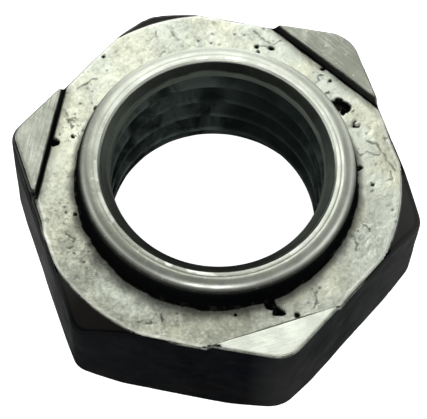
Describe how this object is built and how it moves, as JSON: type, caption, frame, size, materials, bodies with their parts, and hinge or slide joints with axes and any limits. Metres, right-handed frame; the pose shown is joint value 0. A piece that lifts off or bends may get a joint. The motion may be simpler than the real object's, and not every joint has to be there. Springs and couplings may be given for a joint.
{
  "type": "hexagon weld nut",
  "caption": "Hexagonal steel nut with a threaded through bore, a low turned collar round one mouth and raised weld projections on alternate corners.",
  "frame": {"origin": "centre of the flat bearing face underneath, on the thread axis", "axes": "+Z along the thread axis from the bearing face towards the collar; +X through the middle of one weld projection; the flats facing +Y and -Y are parallel to X"},
  "size_m": [0.0276, 0.024, 0.011],
  "materials": {
    "steel": "bare forged steel, worn, pitted and unevenly bright"
  },
  "bodies": {
    "root": {"nut_body": "steel"}
  },
  "joints": []
}
